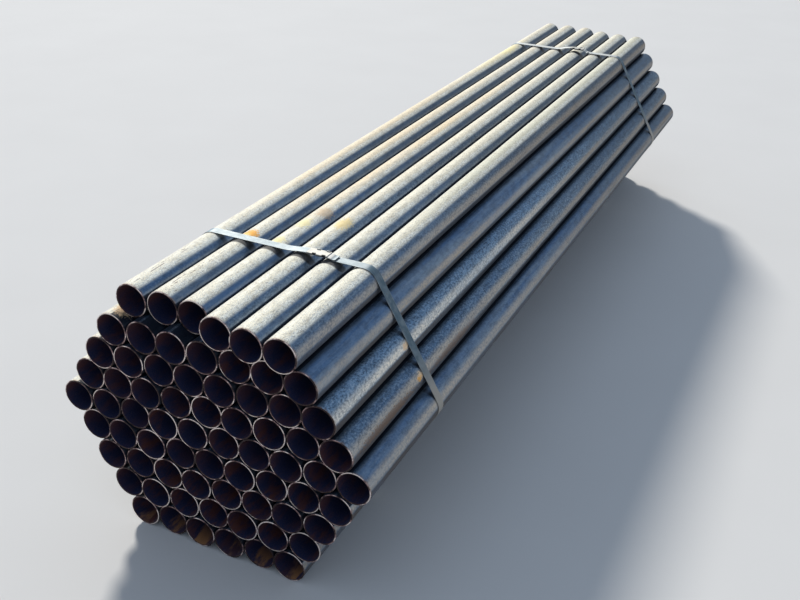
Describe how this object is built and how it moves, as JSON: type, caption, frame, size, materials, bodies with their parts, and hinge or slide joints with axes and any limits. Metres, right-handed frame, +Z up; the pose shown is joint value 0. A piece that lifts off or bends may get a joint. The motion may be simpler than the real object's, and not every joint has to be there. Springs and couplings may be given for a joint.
{
  "type": "bundle of iron pipes",
  "caption": "Hexagonal bundle of equal round steel pipes with open ends, mill scale and light rust, tied near each end by a flat steel strap with a crimped seal.",
  "frame": {"origin": "on the floor under the middle of the bundle", "axes": "+Y along the pipes, away from the end that the picture shows; +X to the right seen from that end; +Z up"},
  "size_m": [0.6094, 2.238, 0.4903],
  "materials": {
    "pipe_steel": "matte",
    "strap_steel": "satin",
    "seal_steel": "satin"
  },
  "bodies": {
    "root": {"pipe_row_1": "pipe_steel", "pipe_row_2": "pipe_steel", "pipe_row_3": "pipe_steel", "pipe_row_4": "pipe_steel", "pipe_row_5": "pipe_steel", "pipe_row_6": "pipe_steel", "pipe_row_7": "pipe_steel", "pipe_row_8": "pipe_steel", "pipe_row_9": "pipe_steel", "strap_front": "strap_steel", "strap_back": "strap_steel", "seal_front": "seal_steel", "seal_back": "seal_steel"}
  },
  "joints": []
}
